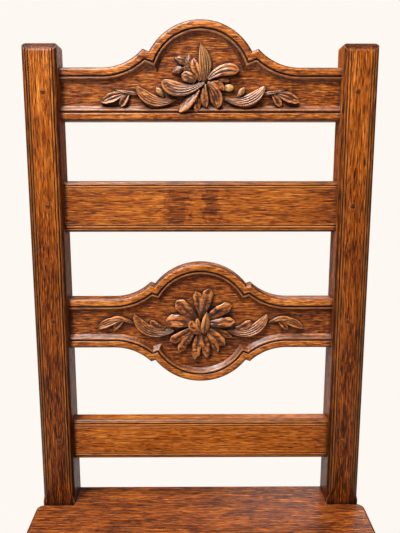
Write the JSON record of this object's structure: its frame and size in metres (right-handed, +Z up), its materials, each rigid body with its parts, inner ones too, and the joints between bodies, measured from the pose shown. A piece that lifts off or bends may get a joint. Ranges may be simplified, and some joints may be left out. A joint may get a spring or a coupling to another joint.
{
  "type": "side chair",
  "caption": "Joined oak side chair with a raked ladder back of four rails, two of them cusped and moulded, a plank seat and turned front legs.",
  "frame": {"origin": "on the floor, under the middle of the chair's bounding box", "axes": "+X to the right of someone facing the chair, +Y from the front to the back, +Z up"},
  "size_m": [0.439, 0.4353, 1.078],
  "materials": {
    "oak_posts": "waxed, stained oak, semi-gloss",
    "oak_rails": "waxed, stained oak, semi-gloss, dark wax in the recesses",
    "oak_seat": "polished, stained oak, glossy",
    "oak_underframe": "waxed, stained oak, semi-gloss",
    "oak_pegs": "end grain oak, darkened by wax",
    "block_wood": "bare sawn oak",
    "steel_screws": "dull steel"
  },
  "bodies": {
    "root": {"rear_post_right": "oak_posts", "rear_post_left": "oak_posts", "crest_rail": "oak_rails", "upper_plain_rail": "oak_rails", "carved_middle_rail": "oak_rails", "lower_plain_rail": "oak_rails", "seat_board_front": "oak_seat", "seat_board_middle": "oak_seat", "seat_board_rear": "oak_seat", "seat_joint_dowels": "oak_pegs", "front_leg_right": "oak_underframe", "front_leg_left": "oak_underframe", "front_apron": "oak_underframe", "rear_apron": "oak_underframe", "side_apron_right": "oak_underframe", "side_apron_left": "oak_underframe", "side_stretcher_right": "oak_underframe", "side_stretcher_left": "oak_underframe", "cross_stretcher": "oak_underframe", "rear_stretcher": "oak_underframe", "corner_block_front_right": "block_wood", "corner_block_front_left": "block_wood", "corner_block_rear_right": "block_wood", "corner_block_rear_left": "block_wood", "corner_block_screws": "steel_screws", "seat_screws": "steel_screws", "crest_rail_pegs": "oak_pegs", "upper_rail_pegs": "oak_pegs", "middle_rail_pegs": "oak_pegs", "lower_rail_pegs": "oak_pegs", "front_apron_pegs": "oak_pegs", "rear_apron_pegs": "oak_pegs", "rear_stretcher_pegs": "oak_pegs", "side_apron_pegs": "oak_pegs", "side_stretcher_pegs": "oak_pegs"}
  },
  "joints": []
}
